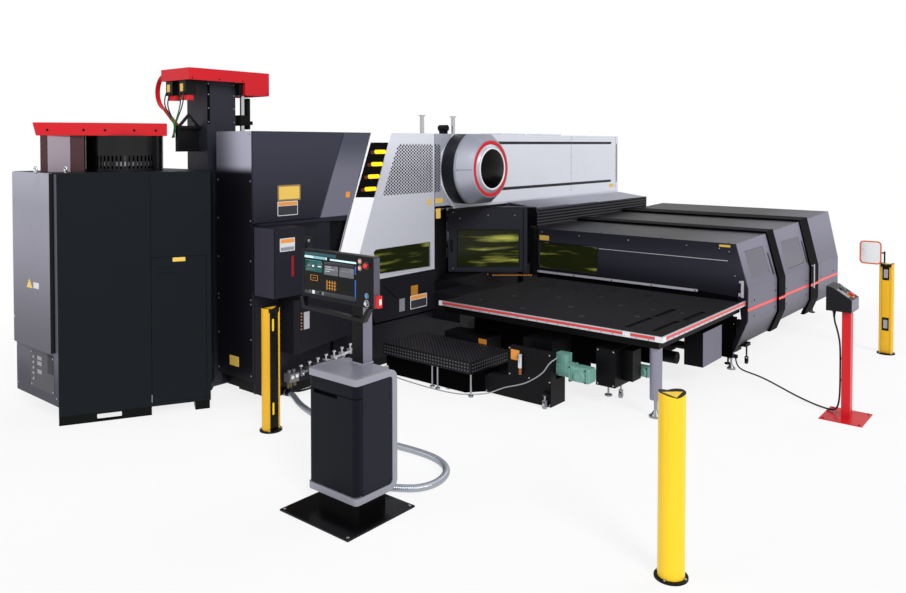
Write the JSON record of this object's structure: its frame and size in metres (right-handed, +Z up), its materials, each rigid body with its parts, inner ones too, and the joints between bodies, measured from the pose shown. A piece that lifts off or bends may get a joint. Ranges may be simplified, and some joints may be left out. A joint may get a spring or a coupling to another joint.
{
  "type": "punch laser combination machine",
  "caption": "Sheet-metal punching and laser cutting machine with a round tool magazine, a brush table, a ribbed enclosure, an operator console and light-curtain posts.",
  "frame": {"origin": "on the floor under the middle plane of the C-frame, level with the seam between its slanted cover and its upper arm cover", "axes": "+X across the frame to the table and enclosure, +Y along the frame to the rear, +Z up"},
  "size_m": [6.363, 9.5137, 3.25],
  "materials": {
    "frame_black": "matt",
    "dark_panel": "satin",
    "magazine_dark": "satin",
    "panel_grey": "satin",
    "silver_paint": "satin",
    "red_paint": "gloss",
    "yellow_paint": "gloss",
    "motor_green": "satin",
    "machined_steel": "machined",
    "trim_aluminium": "satin",
    "tinted_pane": "smooth",
    "mirror_pane": "polished",
    "lamp_amber": "lit",
    "brush_black": "brush",
    "console_dark": "satin",
    "screen_black": "gloss",
    "button_green": "gloss",
    "button_red": "gloss",
    "button_blue": "gloss",
    "knob_steel": "polished",
    "hose_grey": "satin",
    "cable_black": "matt",
    "cable_grey": "matt"
  },
  "bodies": {
    "machine": {"machine_frame": "frame_black", "frame_panels": "dark_panel", "silver_cover": "silver_paint", "status_lamps": "lamp_amber", "tinted_windows": "tinted_pane", "enclosure_sections": "panel_grey", "enclosure_ribs": "frame_black", "enclosure_front": "dark_panel", "enclosure_rail": "trim_aluminium", "enclosure_frame": "frame_black", "bellows_cover": "dark_panel", "beam_cover": "silver_paint", "drum_shell": "dark_panel", "drum_cap": "silver_paint", "lower_covers": "frame_black", "air_unit": "machined_steel", "left_cover": "dark_panel", "magazine_cabinet": "magazine_dark", "magazine_hood": "frame_black", "magazine_rim": "red_paint", "lift_column": "dark_panel", "lift_hood": "red_paint", "hood_motors": "frame_black", "table_frame": "frame_black", "table_top": "brush_black", "table_trim": "trim_aluminium", "scrap_conveyor": "frame_black", "gear_motors": "motor_green", "step_platform": "frame_black", "console_base": "frame_black", "console_band": "silver_paint", "console_shell": "console_dark", "safety_posts": "yellow_paint", "station_stand": "red_paint", "station_box": "console_dark", "console_hose": "hose_grey", "station_cable": "cable_black", "conveyor_cable": "cable_grey"},
    "magazine_door": {"magazine_door": "magazine_dark"},
    "electric_door": {"electric_door": "panel_grey"},
    "tool_drum": {"tool_drum": "machined_steel"},
    "tool_shuttle": {"tool_shuttle": "frame_black"},
    "access_door": {"access_door": "dark_panel"},
    "corner_door": {"corner_door": "dark_panel"},
    "turret": {"turret": "machined_steel"},
    "punch_ram": {"punch_ram": "machined_steel"},
    "laser_head": {"laser_head": "trim_aluminium"},
    "sheet_carriage": {"sheet_carriage": "dark_panel"},
    "console_drawer": {"console_drawer": "console_dark"},
    "console_door": {"console_door": "console_dark"},
    "console_start_button": {"console_start_button": "button_red"},
    "console_stop_button": {"console_stop_button": "button_red"},
    "console_estop": {"console_estop": "button_red"},
    "console_reset_button": {"console_reset_button": "button_blue"},
    "console_selector": {"console_selector": "knob_steel"},
    "mirror": {"mirror": "mirror_pane"},
    "station_estop": {"station_estop": "button_red"},
    "station_button": {"station_button": "button_green"},
    "screen": {"screen_head": "console_dark", "screen_glass": "screen_black"}
  },
  "joints": [
    {"name": "magazine_door_hinge", "type": "hinge", "parent": "machine", "child": "magazine_door", "pos_m": [0.03563, -2.98068, 0.8], "axis": [0, 0, 1], "range_deg": [0, 100]},
    {"name": "electric_door_hinge", "type": "hinge", "parent": "machine", "child": "electric_door", "pos_m": [-1.378, -4.125, 1.44], "axis": [0, 0, -1], "range_deg": [0, 100]},
    {"name": "tool_drum_turn", "type": "hinge", "parent": "machine", "child": "tool_drum", "pos_m": [-0.786, -3.325, 1], "axis": [0, 0, 1], "continuous": true},
    {"name": "tool_lift", "type": "slide", "parent": "machine", "child": "tool_shuttle", "axis": [0, 0, 1], "range_m": [-1.6, 0.1]},
    {"name": "access_door_hinge", "type": "hinge", "parent": "machine", "child": "access_door", "pos_m": [0.616, -2.628, 1.38], "axis": [0, 0, -1], "range_deg": [0, 110]},
    {"name": "corner_door_hinge", "type": "hinge", "parent": "machine", "child": "corner_door", "pos_m": [0.712, 1.377, 1.236], "axis": [0, 0, 1], "range_deg": [0, 95]},
    {"name": "turret_turn", "type": "hinge", "parent": "machine", "child": "turret", "pos_m": [-0.5, 1.1, 1.2], "axis": [0, 0, 1], "continuous": true},
    {"name": "punch_stroke", "type": "slide", "parent": "machine", "child": "punch_ram", "axis": [0, 0, 1], "range_m": [-0.035, 0]},
    {"name": "laser_travel", "type": "slide", "parent": "machine", "child": "laser_head", "axis": [0, 1, 0], "range_m": [-0.08, 2.5]},
    {"name": "sheet_travel", "type": "slide", "parent": "machine", "child": "sheet_carriage", "axis": [1, 0, 0], "range_m": [-0.55, 1.1]},
    {"name": "drawer_slide", "type": "slide", "parent": "machine", "child": "console_drawer", "axis": [0, -1, 0], "range_m": [0, 0.2]},
    {"name": "console_door_hinge", "type": "hinge", "parent": "machine", "child": "console_door", "pos_m": [2.77, -3.648, 0.49], "axis": [0, 0, 1], "range_deg": [0, 100]},
    {"name": "screen_swivel", "type": "hinge", "parent": "machine", "child": "screen", "pos_m": [2.489, -3.32, 1.562], "axis": [0, 0, 1], "range_deg": [-45, 45]},
    {"name": "start_press", "type": "slide", "parent": "screen", "child": "console_start_button", "axis": [0, 1, 0], "range_m": [0, 0.004], "stiffness_N_per_m": 400},
    {"name": "stop_press", "type": "slide", "parent": "screen", "child": "console_stop_button", "axis": [0, 1, 0], "range_m": [0, 0.004], "stiffness_N_per_m": 400},
    {"name": "reset_press", "type": "slide", "parent": "screen", "child": "console_reset_button", "axis": [0, 1, 0], "range_m": [0, 0.004], "stiffness_N_per_m": 400},
    {"name": "estop_press", "type": "slide", "parent": "screen", "child": "console_estop", "axis": [0, 1, 0], "range_m": [0, 0.005], "stiffness_N_per_m": 500},
    {"name": "selector_turn", "type": "hinge", "parent": "screen", "child": "console_selector", "pos_m": [2.826, -3.6, 1.455], "axis": [0, 1, 0], "range_deg": [-45, 45]},
    {"name": "mirror_tilt", "type": "hinge", "parent": "machine", "child": "mirror", "pos_m": [4.393, 3.236, 1.2], "axis": [1, 0, 0], "range_deg": [-25, 0]},
    {"name": "station_estop_press", "type": "slide", "parent": "machine", "child": "station_estop", "axis": [-0.5332, 0, -0.846], "range_m": [0, 0.005], "stiffness_N_per_m": 500},
    {"name": "station_button_press", "type": "slide", "parent": "machine", "child": "station_button", "axis": [-0.5332, 0, -0.846], "range_m": [0, 0.004], "stiffness_N_per_m": 400}
  ]
}
